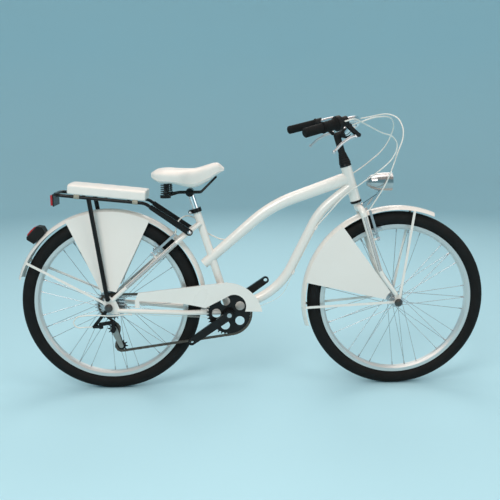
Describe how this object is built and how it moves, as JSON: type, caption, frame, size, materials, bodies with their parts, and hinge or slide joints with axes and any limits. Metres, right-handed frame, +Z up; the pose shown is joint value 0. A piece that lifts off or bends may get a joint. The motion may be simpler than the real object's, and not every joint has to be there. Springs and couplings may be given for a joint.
{
  "type": "bicycle",
  "caption": "Step-through beach cruiser bicycle with full mudguards, coat guards, chain guard, padded rear rack, sprung saddle, swept handlebar and a rear derailleur.",
  "frame": {"origin": "middle of the bounding box's bottom face, on the ground between the wheels", "axes": "+X forward, +Y to the rider's left, +Z up; the drive side faces -Y"},
  "size_m": [1.7236, 0.6352, 1.0137],
  "materials": {
    "frame_paint": "gloss",
    "coat_guard_plastic": "satin",
    "black_paint": "gloss",
    "rubber_black": "matte",
    "rim_aluminium": "satin",
    "bright_steel": "satin",
    "chrome": "polished",
    "black_plastic": "matte",
    "white_vinyl": "satin",
    "red_lens": "gloss",
    "clear_lens": "clear",
    "white_housing": "gloss"
  },
  "bodies": {
    "frame": {"head_tube": "frame_paint", "top_tube": "frame_paint", "down_tube": "frame_paint", "seat_tube": "frame_paint", "chain_stays": "frame_paint", "seat_stays": "frame_paint", "seat_clamp": "black_paint", "bearing_cups": "black_paint", "rear_mudguard": "frame_paint", "rear_coat_guards": "coat_guard_plastic", "tail_light": "black_plastic", "rear_lenses": "red_lens", "rack": "black_paint", "rack_pad": "white_vinyl", "chain_guard": "frame_paint", "rear_axle": "bright_steel", "chain": "bright_steel", "frame_cables": "white_housing", "derailleur_bracket": "black_paint"},
    "steering": {"fork": "frame_paint", "stem": "black_paint", "handlebar": "chrome", "grips": "rubber_black", "lever_brackets": "black_plastic", "front_mudguard": "frame_paint", "front_coat_guards": "coat_guard_plastic", "headlight_bracket": "bright_steel", "front_axle": "bright_steel", "front_brake_cable": "white_housing", "steering_cables": "white_housing"},
    "front_wheel": {"front_tyre": "rubber_black", "front_rim": "rim_aluminium", "front_spokes": "bright_steel", "front_hub": "rim_aluminium"},
    "rear_wheel": {"rear_tyre": "rubber_black", "rear_rim": "rim_aluminium", "rear_spokes": "bright_steel", "rear_hub": "rim_aluminium"},
    "crankset": {"crank_arms": "black_paint", "chainring": "black_paint", "crank_spindle": "bright_steel"},
    "freewheel": {"freewheel_cogs": "bright_steel"},
    "derailleur_link": {"derailleur_link": "black_plastic"},
    "derailleur_knuckle": {"derailleur_knuckle": "black_plastic"},
    "derailleur_cage": {"derailleur_cage": "bright_steel"},
    "guide_pulley": {"guide_pulley": "black_plastic"},
    "tension_pulley": {"tension_pulley": "black_plastic"},
    "front_brake_arm_left": {"front_brake_arm_left": "rim_aluminium"},
    "front_brake_arm_right": {"front_brake_arm_right": "rim_aluminium"},
    "rear_brake_arm_left": {"rear_brake_arm_left": "rim_aluminium"},
    "rear_brake_arm_right": {"rear_brake_arm_right": "rim_aluminium"},
    "brake_lever_left": {"brake_lever_left": "rim_aluminium"},
    "brake_lever_right": {"brake_lever_right": "rim_aluminium"},
    "shifter_grip": {"shifter_grip": "rubber_black"},
    "seatpost": {"seatpost": "chrome", "saddle_frame": "black_paint", "saddle_springs": "black_paint"},
    "saddle": {"saddle": "white_vinyl"},
    "headlight": {"headlight": "chrome", "headlight_lens": "clear_lens"}
  },
  "joints": [
    {"name": "steering", "type": "hinge", "parent": "frame", "child": "steering", "pos_m": [0.37846, 0, 0.70141], "axis": [-0.2924, 0, 0.9563], "range_deg": [-60, 60], "deforming": ["steering_cables"]},
    {"name": "front_wheel_spin", "type": "hinge", "parent": "steering", "child": "front_wheel", "pos_m": [0.53175, 0, 0.33], "axis": [0, 1, 0], "continuous": true},
    {"name": "rear_wheel_spin", "type": "hinge", "parent": "frame", "child": "rear_wheel", "pos_m": [-0.52425, 0, 0.33], "axis": [0, 1, 0], "continuous": true},
    {"name": "crank_spin", "type": "hinge", "parent": "frame", "child": "crankset", "pos_m": [-0.08925, 0, 0.294], "axis": [0, 1, 0], "continuous": true, "deforming": ["chain"]},
    {"name": "freewheel_spin", "type": "hinge", "parent": "frame", "child": "freewheel", "pos_m": [-0.52425, 0, 0.33], "axis": [0, 1, 0], "continuous": true, "deforming": ["chain"]},
    {"name": "derailleur_swing", "type": "hinge", "parent": "frame", "child": "derailleur_link", "pos_m": [-0.55425, -0.086, 0.266], "axis": [0, 0, 1], "range_deg": [-21, 26], "deforming": ["chain", "frame_cables"]},
    {"name": "knuckle_swing", "type": "hinge", "parent": "derailleur_link", "child": "derailleur_knuckle", "pos_m": [-0.51425, -0.062, 0.266], "axis": [0, 0, 1], "range_deg": [-26, 21], "deforming": ["chain", "frame_cables"]},
    {"name": "cage_swing", "type": "hinge", "parent": "derailleur_knuckle", "child": "derailleur_cage", "pos_m": [-0.51425, -0.045, 0.242], "axis": [0, 1, 0], "range_deg": [-20, 20], "stiffness_Nm_per_rad": 0.6, "deforming": ["chain", "frame_cables"]},
    {"name": "guide_pulley_spin", "type": "hinge", "parent": "derailleur_cage", "child": "guide_pulley", "pos_m": [-0.51425, -0.045, 0.242], "axis": [0, 1, 0], "continuous": true, "deforming": ["chain"]},
    {"name": "tension_pulley_spin", "type": "hinge", "parent": "derailleur_cage", "child": "tension_pulley", "pos_m": [-0.4893, -0.045, 0.17767], "axis": [0, 1, 0], "continuous": true, "deforming": ["chain"]},
    {"name": "left_lever_squeeze", "type": "hinge", "parent": "steering", "child": "brake_lever_left", "pos_m": [0.32804, 0.2463, 0.94052], "axis": [0.3218, 0.8863, 0.3331], "range_deg": [0, 18], "stiffness_Nm_per_rad": 2, "deforming": ["front_brake_cable"]},
    {"name": "right_lever_squeeze", "type": "hinge", "parent": "steering", "child": "brake_lever_right", "pos_m": [0.34201, -0.22761, 0.94243], "axis": [-0.3847, 0.913, -0.1356], "range_deg": [0, 18], "stiffness_Nm_per_rad": 2, "deforming": ["steering_cables", "frame_cables"]},
    {"name": "front_left_arm_swing", "type": "hinge", "parent": "steering", "child": "front_brake_arm_left", "pos_m": [0.45572, 0.044, 0.56501], "axis": [0.9563, 0, 0.2924], "range_deg": [0, 2.7], "deforming": ["front_brake_cable"]},
    {"name": "front_right_arm_swing", "type": "hinge", "parent": "steering", "child": "front_brake_arm_right", "pos_m": [0.45572, -0.044, 0.56501], "axis": [0.9563, 0, 0.2924], "range_deg": [-2.7, 0], "deforming": ["front_brake_cable"]},
    {"name": "rear_left_arm_swing", "type": "hinge", "parent": "frame", "child": "rear_brake_arm_left", "pos_m": [-0.36451, 0.044, 0.51881], "axis": [-0.6559, 0, 0.7549], "range_deg": [-2.7, 0], "deforming": ["frame_cables"]},
    {"name": "rear_right_arm_swing", "type": "hinge", "parent": "frame", "child": "rear_brake_arm_right", "pos_m": [-0.36451, -0.044, 0.51881], "axis": [-0.6559, 0, 0.7549], "range_deg": [0, 2.7], "deforming": ["frame_cables"]},
    {"name": "shifter_twist", "type": "hinge", "parent": "steering", "child": "shifter_grip", "pos_m": [0.22325, -0.27373, 0.96878], "axis": [0.8851, 0.4065, 0.2264], "range_deg": [-46, 57], "deforming": ["steering_cables"]},
    {"name": "seatpost_slide", "type": "slide", "parent": "frame", "child": "seatpost", "axis": [-0.2924, 0, 0.9563], "range_m": [-0.03, 0.06]},
    {"name": "saddle_bounce", "type": "hinge", "parent": "seatpost", "child": "saddle", "pos_m": [-0.13125, 0, 0.79223], "axis": [0, 1, 0], "range_deg": [-3, 0], "stiffness_Nm_per_rad": 60, "deforming": ["saddle_springs"]},
    {"name": "headlight_tilt", "type": "hinge", "parent": "steering", "child": "headlight", "pos_m": [0.46373, 0, 0.7241], "axis": [0, 1, 0], "range_deg": [-15, 15]}
  ],
  "couplings": [
    {"joint": "freewheel_spin", "follows": "crank_spin", "ratio": 2},
    {"joint": "guide_pulley_spin", "follows": "crank_spin", "ratio": -4},
    {"joint": "tension_pulley_spin", "follows": "crank_spin", "ratio": 4},
    {"joint": "derailleur_swing", "follows": "shifter_twist", "ratio": 0.45},
    {"joint": "knuckle_swing", "follows": "shifter_twist", "ratio": -0.45},
    {"joint": "front_left_arm_swing", "follows": "left_lever_squeeze", "ratio": 0.149},
    {"joint": "front_right_arm_swing", "follows": "left_lever_squeeze", "ratio": -0.149},
    {"joint": "rear_left_arm_swing", "follows": "right_lever_squeeze", "ratio": -0.149},
    {"joint": "rear_right_arm_swing", "follows": "right_lever_squeeze", "ratio": 0.149}
  ]
}
